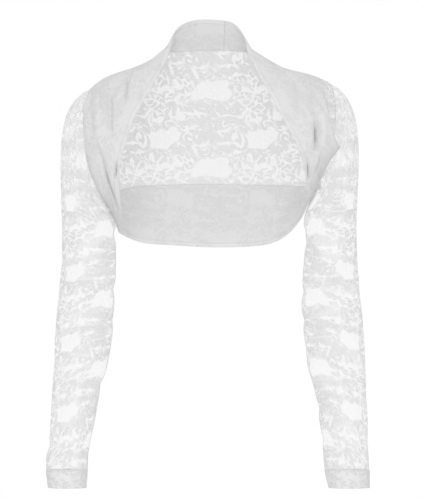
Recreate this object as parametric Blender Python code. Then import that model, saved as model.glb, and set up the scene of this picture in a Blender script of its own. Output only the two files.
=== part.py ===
"""A cropped lace bolero with long sleeves and one wide doubled band round its whole opening.

Metres, +Z up. The front faces -Y, X runs to the right of someone who looks at the front, and left and
right in the names are that person's. The origin is midway between the shoulders, at their height.
Tables are in millimetres. Each wall is a grid of points thickened along its own normals, and pieces that
are sewn together share the points of their seam, pulled apart by the seam gap.
"""
import math
from collections import namedtuple

import bpy
import numpy as np

MM = 0.001

# Cloth
LACE_WALL = 1.0
BAND_WALL = 2.0
SEAM_GAP = 0.4
CORNER_GAP = 1.0

# How far a sleeve turns the direction that it shares with the body along their seam
SLEEVE_SEAM_WEIGHT = 0.6

# Number of steps along and across each piece, and the part of a row over which a direction is measured
TOP_STEPS = 12
FRONT_STEPS = 16
HEM_STEPS = 24
BACK_ARMHOLE_STEPS = 14
BAND_STEPS_ACROSS = 14
CAP_STEPS = 11
UPPER_ARM_STEPS = 4
ARM_STEPS = 15
CUFF_STEPS = 2
NEARBY = 0.02

# Edges sharper than this stay sharp, in degrees
SHARP_EDGE = 60

# Colours, as linear values
LACE_COLOUR = (0.76, 0.76, 0.77, 1.0)
BAND_COLOUR = (0.72, 0.72, 0.73, 1.0)
CLOTH_ROUGHNESS = 0.8

# The band is a closed ring of cross lines. Each runs from the folded free edge to the seam edge, and
# crown is how far the cloth between them stands out.
BandRow = namedtuple("BandRow", "free_x free_y free_z seam_x seam_y seam_z crown")

LEFT_BAND = [
    BandRow(22, 71, 79, 20, 69, 35, 1),
    BandRow(-13, 72, 81, -12, 69, 34, 1),
    BandRow(-39, 63, 75, -40, 62, 33, 1),
    BandRow(-54, 45, 61, -62, 44, 31, 2),
    BandRow(-60, 20, 40, -78, 22, 24, 3),
    BandRow(-67, -6, 18, -95, 15, 14, 5),
    BandRow(-77, -29, -3, -115, 13, 6, 8),
    BandRow(-90, -49, -28, -138, 12, -1, 11),
    BandRow(-104, -66, -52, -160, 11, -10, 13),
    BandRow(-114, -78, -70, -180, 9, -25, 15),
    BandRow(-121, -86, -91, -191, -18, -40, 14),
    BandRow(-127, -90, -110, -194, -40, -62, 12),
    BandRow(-132, -90, -130, -191, -55, -92, 11),
    BandRow(-136, -86, -150, -186, -60, -122, 10),
    BandRow(-137, -79, -168, -179, -57, -150, 9),
    BandRow(-135, -67, -190, -169, -43, -174, 7),
    BandRow(-134, -46, -214, -161, -22, -187, 3),
]
HEM_BAND = [
    BandRow(-136, -14, -237, -157, 2, -191, 0),
    BandRow(-136, 24, -241, -150, 38, -182, 2),
    BandRow(-121, 58, -249, -135, 68, -176, 3),
    BandRow(-98, 81, -256, -106, 91, -170, 3),
    BandRow(-56, 98, -259, -60, 105, -168, 3),
    BandRow(0, 104, -262, 0, 110, -167, 3),
    BandRow(55, 98, -261, 60, 105, -168, 3),
    BandRow(92, 82, -256, 106, 91, -169, 3),
    BandRow(117, 60, -242, 135, 68, -171, 3),
    BandRow(134, 32, -222, 150, 38, -173, 2),
    BandRow(141, -6, -207, 156, 2, -178, 0),
]
RIGHT_BAND = [
    BandRow(144, -40, -189, 160, -22, -170, 3),
    BandRow(143, -62, -168, 167, -42, -150, 6),
    BandRow(141, -78, -149, 180, -57, -130, 8),
    BandRow(137, -87, -133, 194, -60, -110, 10),
    BandRow(131, -91, -118, 199, -54, -88, 11),
    BandRow(125, -91, -104, 197, -39, -62, 12),
    BandRow(117, -88, -89, 192, -18, -38, 14),
    BandRow(108, -80, -72, 180, 9, -18, 15),
    BandRow(99, -67, -53, 160, 11, -8, 13),
    BandRow(87, -50, -30, 137, 12, -1, 11),
    BandRow(73, -30, -6, 114, 13, 4, 8),
    BandRow(63, -7, 15, 94, 15, 14, 5),
    BandRow(56, 18, 34, 76, 22, 24, 3),
    BandRow(52, 40, 51, 62, 42, 30, 2),
    BandRow(45, 56, 64, 50, 56, 32, 1),
    BandRow(36, 66, 74, 36, 65, 34, 1),
]
BAND_RING = LEFT_BAND + HEM_BAND + RIGHT_BAND

# Rows of the ring at which other seams start: the armhole tops and the two side seams
LEFT_TOP = 9
LEFT_SIDE = len(LEFT_BAND)
RIGHT_SIDE = LEFT_SIDE + len(HEM_BAND) - 1
RING_END = len(BAND_RING)
RIGHT_TOP = RING_END - LEFT_TOP

# Soft folds of the band. Each follows a line over the ring, given by row and by share of the width from
# the free edge, and depth is outward, so a trough is negative.
Fold = namedtuple("Fold", "row_start share_start row_end share_end depth half_width")

BAND_FOLDS = [
    Fold(6.4, 0.75, 8.6, 0.14, -5.0, 7),
    Fold(5.6, 0.50, 9.4, 0.30, 3.0, 9),
    Fold(8.6, 0.56, 11.4, 0.22, -5.5, 7),
    Fold(9.2, 0.70, 12.6, 0.42, 3.5, 9),
    Fold(12.2, 0.62, 16.6, 0.34, -5.5, 6),
    Fold(10.4, 0.12, 15.8, 0.14, 2.5, 7),
    Fold(12.8, 0.85, 15.8, 0.72, 2.5, 6),
    Fold(18.2, 0.30, 20.4, 0.62, -2.5, 9),
    Fold(21.2, 0.70, 23.0, 0.35, -2.0, 12),
    Fold(24.2, 0.40, 26.4, 0.66, -3.0, 9),
    Fold(28.4, 0.66, 30.8, 0.50, -3.5, 6),
    Fold(30.4, 0.22, 35.0, 0.54, -5.0, 8),
    Fold(31.2, 0.42, 35.4, 0.74, 3.0, 7),
    Fold(31.2, 0.33, 33.4, 0.46, -4.0, 6),
    Fold(34.8, 0.20, 37.0, 0.62, -4.0, 8),
    Fold(35.6, 0.45, 38.0, 0.80, 2.5, 8),
    Fold(39.6, 0.30, 41.4, 0.60, -2.0, 8),
    Fold(2.0, 0.55, 4.2, 0.35, -2.0, 8),
]

# The back half of each armhole, between the underarm and the shoulder
SeamPoint = namedtuple("SeamPoint", "x y z")

LEFT_BACK_ARMHOLE = [
    SeamPoint(-164, 22, -177),
    SeamPoint(-173, 46, -155),
    SeamPoint(-180, 64, -122),
    SeamPoint(-185, 66, -90),
    SeamPoint(-187, 56, -60),
    SeamPoint(-185, 36, -38),
]
RIGHT_BACK_ARMHOLE = [
    SeamPoint(163, 22, -166),
    SeamPoint(173, 46, -146),
    SeamPoint(182, 64, -116),
    SeamPoint(188, 66, -85),
    SeamPoint(189, 56, -56),
    SeamPoint(186, 36, -33),
]

# The back stands out over the shoulder blades and a little along the spine, most of all a little above
# the middle of its height. Each side follows its armhole over a share of the width that falls as
# SIDE_REACH rises.
SPINE_CROWN = 9
BLADE_CROWN = 20
CROWN_HEIGHT_POWER = 0.8
SIDE_REACH = 4

# Level sections of the arms below the armhole, the widest first
ArmRow = namedtuple("ArmRow", "z outer_x inner_x middle_y half_depth")

LEFT_ARM = [
    ArmRow(-237, -223, -143, 0, 45),
    ArmRow(-277, -223, -142, -1, 45),
    ArmRow(-318, -226, -143, -3, 44),
    ArmRow(-358, -230, -145, -6, 43),
    ArmRow(-399, -233, -148, -10, 42),
    ArmRow(-440, -235, -155, -15, 40),
    ArmRow(-480, -237, -166, -20, 38),
    ArmRow(-520, -239, -173, -25, 36),
    ArmRow(-548, -241, -179, -29, 35),
    ArmRow(-572, -245, -183, -32, 34),
    ArmRow(-596, -245, -184, -35, 34),
    ArmRow(-621, -242, -186, -38, 33),
]
RIGHT_ARM = [
    ArmRow(-237, 219, 143, 0, 45),
    ArmRow(-277, 220, 141, -1, 45),
    ArmRow(-318, 223, 138, -3, 44),
    ArmRow(-358, 227, 137, -6, 43),
    ArmRow(-399, 230, 141, -10, 42),
    ArmRow(-440, 232, 146, -15, 40),
    ArmRow(-480, 233, 157, -20, 38),
    ArmRow(-520, 235, 163, -25, 36),
    ArmRow(-548, 235, 167, -29, 35),
    ArmRow(-572, 236, 169, -32, 34),
    ArmRow(-596, 237, 171, -35, 34),
    ArmRow(-621, 237, 177, -38, 33),
]
CUFF_ROW = 10

# The cap of a sleeve leaves the armhole outward at the shoulder and downward at the underarm
CAP_OUTWARD_TOP = 165
CAP_OUTWARD_UNDERARM = 34
CAP_OUTWARD_POWER = 1.5
CAP_DOWN_TOP = 45
CAP_DOWN_UNDERARM = 20
CAP_ARRIVAL_SHARE = 0.9

# Soft folds of a sleeve: height, direction round the arm in degrees from its outer side by way of the
# front, rise of the fold over one radian, and its size
ArmFold = namedtuple("ArmFold", "z direction rise depth half_height half_angle")

LEFT_ARM_FOLDS = [
    ArmFold(-255, 150, 20, -3.0, 9, 60),
    ArmFold(-330, 170, 22, -3.0, 9, 70),
    ArmFold(-362, 140, -14, -2.5, 9, 60),
    ArmFold(-410, 60, 16, -2.0, 10, 55),
    ArmFold(-470, 190, -18, -2.5, 9, 60),
    ArmFold(-556, 20, 14, -2.5, 8, 70),
    ArmFold(-300, 300, 16, -2.5, 10, 60),
    ArmFold(-385, 270, -20, -3.0, 10, 60),
    ArmFold(-450, 310, 14, -2.0, 10, 55),
]
RIGHT_ARM_FOLDS = [
    ArmFold(-262, 160, 18, -2.5, 9, 60),
    ArmFold(-322, 150, -16, -3.0, 9, 65),
    ArmFold(-372, 180, 20, -3.0, 9, 60),
    ArmFold(-428, 130, 18, -2.0, 10, 55),
    ArmFold(-500, 170, -16, -2.5, 9, 60),
    ArmFold(-560, 140, 18, -2.5, 8, 60),
    ArmFold(-310, 290, -18, -2.5, 10, 60),
    ArmFold(-395, 260, 20, -3.0, 10, 60),
    ArmFold(-465, 300, -14, -2.0, 10, 55),
]


def unit(vectors):
    """Vectors of length one."""
    return vectors / np.linalg.norm(vectors, axis=-1, keepdims=True)


def hermite(start, leave, end, arrive, share):
    """Points between start and end that leave and arrive along the given directions."""
    square = share * share
    cube = square * share
    return ((2 * cube - 3 * square + 1) * start + (cube - 2 * square + share) * leave
            + (3 * square - 2 * cube) * end + (cube - square) * arrive)


def smooth_through(rows, places, closed=False):
    """Points of a smooth curve through the rows, at fractional row numbers."""
    rows = np.array(rows, float)
    places = np.asarray(places, float)
    count = len(rows)
    first = np.floor(places).astype(int)
    if closed:
        around = [rows[(first + step) % count] for step in (-1, 0, 1, 2)]
    else:
        first = np.clip(first, 0, count - 2)
        around = [rows[np.clip(first + step, 0, count - 1)] for step in (-1, 0, 1, 2)]
    before, start, end, after = around
    share = (places - first)[..., None]
    return hermite(start, (end - before) / 2, end, (after - start) / 2, share)


def fold_height(fold, rows, shares, widths):
    """How far one fold lifts the band at each row and share of the width."""
    along = (rows - fold.row_start) / (fold.row_end - fold.row_start)
    middle = fold.share_start + (fold.share_end - fold.share_start) * along
    away = (shares - middle) * widths / fold.half_width
    ends = np.clip(along * (1 - along) * 4, 0, 1)
    return fold.depth * ends * np.exp(-away * away)


def band_grid(rows, shares):
    """Points of the band at each ring row and share of its width."""
    table = smooth_through(BAND_RING, rows, closed=True)
    ahead = smooth_through(BAND_RING, rows + NEARBY, closed=True)
    free = table[:, 0:3]
    seam = table[:, 3:6]
    along = (ahead[:, 0:3] + ahead[:, 3:6]) - (free + seam)
    outward = unit(np.cross(seam - free, along))
    share = shares[None, :, None]
    crown = table[:, 6][:, None, None] * 4 * share * (1 - share)
    points = free[:, None] * (1 - share) + seam[:, None] * share + crown * outward[:, None]
    widths = np.linalg.norm(seam - free, axis=1)[:, None]
    normals = grid_normals(points)
    lift = np.zeros(points.shape[:2])
    for fold in BAND_FOLDS:
        lift += fold_height(fold, rows[:, None], shares[None, :], widths)
    ease = np.clip(4 * shares * (1 - shares), 0, 1)[None, :]
    return points + normals * (lift * ease)[:, :, None]


def grid_normals(points, closed=False):
    """Outward direction at each point of a grid."""
    if closed:
        along = np.roll(points, -1, axis=0) - np.roll(points, 1, axis=0)
    else:
        along = np.gradient(points, axis=0)
    across = np.gradient(points, axis=1)
    return unit(np.cross(across, along))


def back_armhole(side, places):
    """The back half of an armhole from the underarm, at place 0, to the shoulder, at place 1."""
    if side < 0:
        rows, underarm, top = LEFT_BACK_ARMHOLE, LEFT_SIDE, LEFT_TOP
    else:
        rows, underarm, top = RIGHT_BACK_ARMHOLE, RIGHT_SIDE, RIGHT_TOP
    ends = smooth_through(BAND_RING, np.array([underarm, top]), closed=True)[:, 3:6]
    rows = [ends[0]] + [tuple(row) for row in rows] + [ends[1]]
    return smooth_through(rows, places * (len(rows) - 1))


def band_rows(start, end, steps):
    """Ring rows from start to end."""
    return np.linspace(start, end, steps + 1)


def seam_edge(rows):
    """The band's seam edge at ring rows."""
    return smooth_through(BAND_RING, rows, closed=True)[:, 3:6]


def back_grid():
    """Points of the back, from the left armhole to the right one and from the top to the hem seam."""
    left_top = band_rows(LEFT_TOP, 0, TOP_STEPS)
    right_top = band_rows(RING_END, RIGHT_TOP, TOP_STEPS)
    top = seam_edge(np.concatenate([left_top, right_top[1:]]))
    bottom = seam_edge(band_rows(LEFT_SIDE, RIGHT_SIDE, HEM_STEPS))
    down = np.linspace(0, 1, BACK_ARMHOLE_STEPS + 1)
    left = back_armhole(-1, 1 - down)
    right = back_armhole(1, 1 - down)
    across = np.linspace(0, 1, len(top))
    share = down[None, :, None]
    points = top[:, None] * (1 - share) + bottom[:, None] * share
    left_pull = ((1 - across) ** SIDE_REACH)[:, None, None]
    right_pull = (across ** SIDE_REACH)[:, None, None]
    left_move = left - points[0]
    right_move = right - points[-1]
    points = points + left_pull * left_move[None] + right_pull * right_move[None]
    from_spine = np.abs(2 * across - 1)[:, None]
    blades = (4 * from_spine * (1 - from_spine)) ** 2
    crown = SPINE_CROWN * (1 - from_spine ** 2) + BLADE_CROWN * blades
    points[:, :, 1] += crown * np.sin(math.pi * down[None, :] ** CROWN_HEIGHT_POWER)
    return points


def armhole_loop(side):
    """The armhole from the shoulder, down the front, under the arm and up the back."""
    if side < 0:
        front = seam_edge(band_rows(LEFT_TOP, LEFT_SIDE, FRONT_STEPS))
    else:
        front = seam_edge(band_rows(RIGHT_TOP, RIGHT_SIDE, FRONT_STEPS))
    back = back_armhole(side, np.linspace(0, 1, BACK_ARMHOLE_STEPS + 1))
    return np.concatenate([front, back[1:-1]])


def arm_angles():
    """Direction round the arm of each point of the loop, from the outer side by way of the front."""
    front = np.linspace(0, math.pi, FRONT_STEPS + 1)
    back = np.linspace(math.pi, 2 * math.pi, BACK_ARMHOLE_STEPS + 1)
    return np.concatenate([front, back[1:-1]])


def arm_section(table, places, angles, folds):
    """Rings of an arm at fractional rows of its table."""
    sections = smooth_through(table, places)
    z, outer, inner, middle_y, half_depth = [sections[:, column][None, :] for column in range(5)]
    angle = angles[:, None]
    lift = np.zeros((len(angles), len(places)))
    for fold in folds:
        turn = (angle - math.radians(fold.direction) + math.pi) % (2 * math.pi) - math.pi
        height = (z - fold.z - fold.rise * turn) / fold.half_height
        reach = turn / math.radians(fold.half_angle)
        lift += fold.depth * np.exp(-height * height - reach * reach)
    side = np.sign(outer)
    x = (outer + inner) / 2 + np.cos(angle) * ((outer - inner) / 2 + side * lift)
    y = middle_y - np.sin(angle) * (half_depth + lift)
    return np.stack([x, y, z + 0 * x], axis=-1)


def sleeve_grid(side):
    """Points of a sleeve with its cuff, ring by ring from the armhole to the wrist."""
    table, folds = (LEFT_ARM, LEFT_ARM_FOLDS) if side < 0 else (RIGHT_ARM, RIGHT_ARM_FOLDS)
    angles = arm_angles()
    loop = armhole_loop(side)
    places = np.concatenate([np.linspace(0, CUFF_ROW, ARM_STEPS + 1),
                             np.linspace(CUFF_ROW, CUFF_ROW + 1, CUFF_STEPS + 1)[1:]])
    arm = arm_section(table, places, angles, folds)
    height = (loop[:, 2] - loop[:, 2].min()) / np.ptp(loop[:, 2])
    outward_share = height ** CAP_OUTWARD_POWER
    outward = CAP_OUTWARD_UNDERARM + (CAP_OUTWARD_TOP - CAP_OUTWARD_UNDERARM) * outward_share
    downward = CAP_DOWN_UNDERARM + (CAP_DOWN_TOP - CAP_DOWN_UNDERARM) * height
    leave = np.stack([side * outward, 0 * outward, -downward], axis=-1)
    drop = np.linalg.norm(arm[:, 0] - loop, axis=1) * CAP_ARRIVAL_SHARE
    arrive = np.stack([0 * drop, 0 * drop, -drop], axis=-1)
    share = np.linspace(0, 1, CAP_STEPS + 1)[None, :, None]
    cap = hermite(loop[:, None], leave[:, None], arm[:, :1], arrive[:, None], share)
    return np.concatenate([cap, arm[:, 1:]], axis=1)


def add_seam_normals(grids, normals):
    """Give two pieces the same outward direction where they share the points of a seam."""
    seen = {}
    for name, points in grids.items():
        for place in np.ndindex(points.shape[:2]):
            key = tuple(np.round(points[place], 2))
            seen.setdefault(key, []).append((name, place))
    for places in seen.values():
        if len({name for name, place in places}) < 2:
            continue
        arm = sum(normals[name][place] for name, place in places if name.startswith("sleeve"))
        body = sum(normals[name][place] for name, place in places if not name.startswith("sleeve"))
        if np.any(arm) and np.any(body):
            shared = unit(unit(body) + SLEEVE_SEAM_WEIGHT * unit(arm))
        else:
            shared = unit(arm + body)
        for name, place in places:
            normals[name][place] = shared


def pull_back(points, axis, end, closed):
    """Move an edge of a grid half the seam gap inward, square to the seam."""
    points = np.moveaxis(points, axis, 0)
    edge, inner = (points[0], points[1]) if end == 0 else (points[-1], points[-2])
    if closed:
        along = unit(np.roll(edge, -1, axis=0) - np.roll(edge, 1, axis=0))
    else:
        along = unit(np.gradient(edge, axis=0))
    inward = inner - edge
    inward = inward - along * np.sum(inward * along, axis=1, keepdims=True)
    edge += unit(inward) * SEAM_GAP / 2


def pull_corners(points, sewn):
    """Round off each corner between two sewn edges."""
    for row, inner_row in ((0, 1), (-1, -2)):
        for column, inner_column in ((0, 1), (-1, -2)):
            if (0, -row) in sewn and (1, -column) in sewn:
                corner = points[row, column]
                corner += unit(points[inner_row, inner_column] - corner) * CORNER_GAP


def wall_mesh(name, points, normals, thickness, closed):
    """One closed wall round a grid of points, half of its thickness on each side."""
    rows, columns = points.shape[:2]
    half = normals * thickness / 2
    vertices = np.concatenate([(points + half).reshape(-1, 3), (points - half).reshape(-1, 3)]) * MM
    inside = rows * columns

    def quad(a, b, c, d):
        return [(a, b, c), (a, c, d)]

    faces = []
    row_steps = rows if closed else rows - 1
    for row in range(row_steps):
        for column in range(columns - 1):
            a = row * columns + column
            b = ((row + 1) % rows) * columns + column
            c = b + 1
            d = a + 1
            faces += quad(a, d, c, b)
            faces += [tuple(reversed([corner + inside for corner in face])) for face in quad(a, d, c, b)]
    edges = []
    for row in range(row_steps):
        here = row * columns
        there = ((row + 1) % rows) * columns
        edges.append((here, there))
        edges.append((there + columns - 1, here + columns - 1))
    if not closed:
        last = (rows - 1) * columns
        for column in range(columns - 1):
            edges.append((column + 1, column))
            edges.append((last + column, last + column + 1))
    for start, end in edges:
        faces += quad(start, end, end + inside, start + inside)
    mesh = bpy.data.meshes.new(name)
    mesh.from_pydata(vertices.tolist(), [], faces)
    mesh.update()
    mesh.shade_smooth()
    mesh.set_sharp_from_angle(angle=math.radians(SHARP_EDGE))
    return mesh


def cloth_material(name, colour):
    """Plain matt cloth."""
    material = bpy.data.materials.new(name)
    material.use_nodes = True
    shader = material.node_tree.nodes["Principled BSDF"]
    shader.inputs["Base Color"].default_value = colour
    shader.inputs["Roughness"].default_value = CLOTH_ROUGHNESS
    return material


def make_bolero():
    """All pieces, with the edges that are sewn to a neighbour pulled apart by the seam gap."""
    shares = np.linspace(0, 1, BAND_STEPS_ACROSS + 1)
    left_rows = np.concatenate([band_rows(0, LEFT_TOP, TOP_STEPS),
                                band_rows(LEFT_TOP, LEFT_SIDE, FRONT_STEPS)[1:]])
    hem_rows = band_rows(LEFT_SIDE, RIGHT_SIDE, HEM_STEPS)
    right_rows = np.concatenate([band_rows(RIGHT_SIDE, RIGHT_TOP, FRONT_STEPS),
                                 band_rows(RIGHT_TOP, RING_END, TOP_STEPS)[1:]])
    sleeves = {"left": sleeve_grid(-1), "right": sleeve_grid(1)[::-1]}
    grids = {
        "band_left": band_grid(left_rows, shares),
        "band_hem": band_grid(hem_rows, shares),
        "band_right": band_grid(right_rows, shares),
        "back_panel": back_grid()[:, ::-1],
    }
    elbow = CAP_STEPS + UPPER_ARM_STEPS
    wrist = CAP_STEPS + ARM_STEPS
    for side, points in sleeves.items():
        grids["sleeve_" + side] = points[:, :elbow + 1].copy()
        grids["forearm_" + side] = points[:, elbow:wrist + 1].copy()
        grids["cuff_" + side] = points[:, wrist:].copy()
    tubes = [name for name in grids if name.startswith(("sleeve", "forearm", "cuff"))]
    normals = {name: grid_normals(points, name in tubes) for name, points in grids.items()}
    add_seam_normals(grids, normals)
    sewn = {
        "band_left": [(0, 0), (0, 1), (1, 1)],
        "band_hem": [(0, 0), (0, 1), (1, 1)],
        "band_right": [(0, 0), (0, 1), (1, 1)],
        "back_panel": [(0, 0), (0, 1), (1, 0), (1, 1)],
        "sleeve_left": [(1, 0), (1, 1)],
        "sleeve_right": [(1, 0), (1, 1)],
        "forearm_left": [(1, 0), (1, 1)],
        "forearm_right": [(1, 0), (1, 1)],
        "cuff_left": [(1, 0)],
        "cuff_right": [(1, 0)],
    }
    lace = cloth_material("lace", LACE_COLOUR)
    doubled = cloth_material("doubled_lace", BAND_COLOUR)
    for name, points in grids.items():
        for axis, end in sewn[name]:
            pull_back(points, axis, end, name in tubes)
        pull_corners(points, sewn[name])
        single = name.startswith(("sleeve", "forearm", "back"))
        thickness = LACE_WALL if single else BAND_WALL
        mesh = wall_mesh(name, points, normals[name], thickness, name in tubes)
        mesh.materials.append(lace if single else doubled)
        bpy.context.scene.collection.objects.link(bpy.data.objects.new(name, mesh))


for old in list(bpy.data.objects):
    bpy.data.objects.remove(old)
make_bolero()
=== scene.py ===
"""A cropped lace bolero with long sleeves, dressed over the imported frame.

Tables are in millimetres and the meshes in metres. The cloth follows the same rows and folds as the
solids, in finer steps. Its lace is one drawn repeat of flowers, leaves and open net that every piece
lays over its own flat measure. A side is -1 for the viewer's left and 1 for the right.
"""
import math
from collections import namedtuple

import bpy
import numpy as np
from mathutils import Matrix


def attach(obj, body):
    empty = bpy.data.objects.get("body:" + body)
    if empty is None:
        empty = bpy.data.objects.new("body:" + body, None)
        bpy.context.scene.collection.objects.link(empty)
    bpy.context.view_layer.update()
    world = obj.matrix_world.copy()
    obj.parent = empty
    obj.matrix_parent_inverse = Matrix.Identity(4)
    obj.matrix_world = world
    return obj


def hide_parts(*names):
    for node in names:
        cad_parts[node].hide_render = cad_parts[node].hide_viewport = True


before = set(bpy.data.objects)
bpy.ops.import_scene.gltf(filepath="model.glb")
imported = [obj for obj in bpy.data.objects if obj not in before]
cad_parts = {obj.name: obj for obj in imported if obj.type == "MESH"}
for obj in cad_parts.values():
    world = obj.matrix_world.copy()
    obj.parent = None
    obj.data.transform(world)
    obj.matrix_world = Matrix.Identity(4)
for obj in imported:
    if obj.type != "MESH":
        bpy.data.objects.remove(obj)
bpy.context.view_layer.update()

MM = 0.001
SIDES = {"left": -1, "right": 1}

# Size of the cloth's mesh cells, and about how long the pieces are, which gives the number of cells
BACK_CELL = 1.4
SLEEVE_CELL = 1.45
BAND_CELL = 1.7
CUFF_CELL = 1.6
BACK_WIDTH = 440
BACK_HEIGHT = 235
SLEEVE_ROUND = 275
CAP_LENGTH = 190
ARM_LENGTH = 360
CUFF_LENGTH = 25
SLEEVE_STEPS = 2 * round(SLEEVE_ROUND / SLEEVE_CELL / 2)
SLEEVE_ANGLES = np.linspace(-math.pi, math.pi, SLEEVE_STEPS + 1)

# Thickness of the doubled cloth, points round its folded edge, and places where the band is measured
DOUBLED = 1.8
EDGE_POINTS = 4
BAND_MEASURES = 200

# The band is a closed ring of cross lines from the folded free edge to the seam edge. Each row gives the
# free edge's x, y and z, the seam edge's x, y and z, and how far the cloth crowns between them.
LEFT_BAND = [
    (22, 71, 79, 20, 69, 35, 1), (-13, 72, 81, -12, 69, 34, 1),
    (-39, 63, 75, -40, 62, 33, 1), (-54, 45, 61, -62, 44, 31, 2),
    (-60, 20, 40, -78, 22, 24, 3), (-67, -6, 18, -95, 15, 14, 5),
    (-77, -29, -3, -115, 13, 6, 8), (-90, -49, -28, -138, 12, -1, 11),
    (-104, -66, -52, -160, 11, -10, 13), (-114, -78, -70, -180, 9, -25, 15),
    (-121, -86, -91, -191, -18, -40, 14), (-127, -90, -110, -194, -40, -62, 12),
    (-132, -90, -130, -191, -55, -92, 11), (-136, -86, -150, -186, -60, -122, 10),
    (-137, -79, -168, -179, -57, -150, 9), (-135, -67, -190, -169, -43, -174, 7),
    (-134, -46, -214, -161, -22, -187, 3),
]
HEM_BAND = [
    (-136, -14, -237, -157, 2, -191, 0), (-136, 24, -241, -150, 38, -182, 2),
    (-121, 58, -249, -135, 68, -176, 3), (-98, 81, -256, -106, 91, -170, 3),
    (-56, 98, -259, -60, 105, -168, 3), (0, 104, -262, 0, 110, -167, 3),
    (55, 98, -261, 60, 105, -168, 3), (92, 82, -256, 106, 91, -169, 3),
    (117, 60, -242, 135, 68, -171, 3), (134, 32, -222, 150, 38, -173, 2),
    (141, -6, -207, 156, 2, -178, 0),
]
RIGHT_BAND = [
    (144, -40, -189, 160, -22, -170, 3), (143, -62, -168, 167, -42, -150, 6),
    (141, -78, -149, 180, -57, -130, 8), (137, -87, -133, 194, -60, -110, 10),
    (131, -91, -118, 199, -54, -88, 11), (125, -91, -104, 197, -39, -62, 12),
    (117, -88, -89, 192, -18, -38, 14), (108, -80, -72, 180, 9, -18, 15),
    (99, -67, -53, 160, 11, -8, 13), (87, -50, -30, 137, 12, -1, 11),
    (73, -30, -6, 114, 13, 4, 8), (63, -7, 15, 94, 15, 14, 5),
    (56, 18, 34, 76, 22, 24, 3), (52, 40, 51, 62, 42, 30, 2),
    (45, 56, 64, 50, 56, 32, 1), (36, 66, 74, 36, 65, 34, 1),
]
BAND_RING = LEFT_BAND + HEM_BAND + RIGHT_BAND
RING_END = len(BAND_RING)

# Rows of the ring at each shoulder, where the armhole starts, and at each side seam under the arm
SHOULDER_TOP = 9
SHOULDER_ROWS = {-1: SHOULDER_TOP, 1: RING_END - SHOULDER_TOP}
SIDE_ROWS = {-1: len(LEFT_BAND), 1: len(LEFT_BAND) + len(HEM_BAND) - 1}

# Small steps to a row or share beside another, which give the cloth's direction there
ROW_AHEAD = 0.02
ROWS_BESIDE = np.array([-0.05, 0.0, 0.05])
SHARES_INSIDE = np.array([0.96, 0.98, 1.0])

# Soft folds of the band. Each follows a line over the ring, given by row and by share of the width from
# the free edge, and a trough has a negative depth.
Fold = namedtuple("Fold", "row_start share_start row_end share_end depth half_width")

BAND_FOLDS = [Fold(*row) for row in (
    (6.4, 0.75, 8.6, 0.14, -5, 7), (5.6, 0.5, 9.4, 0.3, 3, 9), (8.6, 0.56, 11.4, 0.22, -5.5, 7),
    (9.2, 0.7, 12.6, 0.42, 3.5, 9), (12.2, 0.62, 16.6, 0.34, -5.5, 6), (10.4, 0.12, 15.8, 0.14, 2.5, 7),
    (12.8, 0.85, 15.8, 0.72, 2.5, 6), (18.2, 0.3, 20.4, 0.62, -2.5, 9), (21.2, 0.7, 23, 0.35, -2, 12),
    (24.2, 0.4, 26.4, 0.66, -3, 9), (28.4, 0.66, 30.8, 0.5, -3.5, 6), (30.4, 0.22, 35, 0.54, -5, 8),
    (31.2, 0.42, 35.4, 0.74, 3, 7), (31.2, 0.33, 33.4, 0.46, -4, 6), (34.8, 0.2, 37, 0.62, -4, 8),
    (35.6, 0.45, 38, 0.8, 2.5, 8), (39.6, 0.3, 41.4, 0.6, -2, 8), (2, 0.55, 4.2, 0.35, -2, 8),
)]

# Gathers and small pulls that only the cloth shows
GATHERS = [Fold(*row) for row in (
    (9, 0.92, 11.8, 0.62, -1.8, 3.5), (10, 0.95, 12.6, 0.74, 1.4, 3.5), (8.2, 0.86, 10.4, 0.5, -1.6, 4),
    (7.4, 0.9, 9.6, 0.66, 1.2, 4), (12.4, 0.94, 15, 0.86, -1.6, 3.2), (11.6, 0.34, 14.6, 0.28, -1.5, 3.6),
    (13.4, 0.46, 16.4, 0.22, 1.2, 3.6), (31, 0.92, 33.6, 0.86, -1.8, 3.4), (31.6, 0.8, 34.4, 0.62, 1.4, 3.6),
    (32.6, 0.9, 35.2, 0.7, -1.8, 3.6), (34, 0.92, 36.4, 0.56, -1.5, 4), (29.2, 0.3, 31.8, 0.24, -1.4, 3.4),
    (36.4, 0.86, 38.2, 0.6, -1.2, 4), (17.6, 0.86, 19.4, 0.5, -1.4, 4), (18.8, 0.2, 20.8, 0.3, 1, 5),
    (22.8, 0.8, 24.4, 0.62, -1, 5), (25.4, 0.3, 27.2, 0.46, -1.2, 4), (4.4, 0.3, 6.2, 0.55, -1.2, 4),
    (40.4, 0.6, 42, 0.38, -1, 4), (7, 0.56, 8.6, 0.18, -4.5, 3.4), (8.7, 0.47, 11.3, 0.2, -5, 3.4),
    (12, 0.5, 16.3, 0.12, -10, 6), (13.3, 0.34, 15.9, 0.17, -12, 2.8), (31, 0.28, 33.6, 0.44, -7.5, 3.6),
    (29.4, 0.4, 31.4, 0.42, -5.5, 4), (33, 0.62, 34.8, 0.56, -3, 3.4), (12.3, 0.05, 13.8, 0.04, -32, 2.2),
    (29.1, 0.05, 30.7, 0.06, -30, 2.2),
)]

# Where the sleeve head's lace reaches in over the front: first and last ring row, how far in as a share
# of the width, the bow's lean and fullness, and the points across it
HeadBow = namedtuple("HeadBow", "first last depth lean fullness columns")

HEAD_BOWS = {-1: HeadBow(8.6, 13.4, 0.09, 0.9, 0.8, 8), 1: HeadBow(30.9, 35.8, 0.35, 0.82, 0.76, 30)}
HEAD_ROWS = 60

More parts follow.
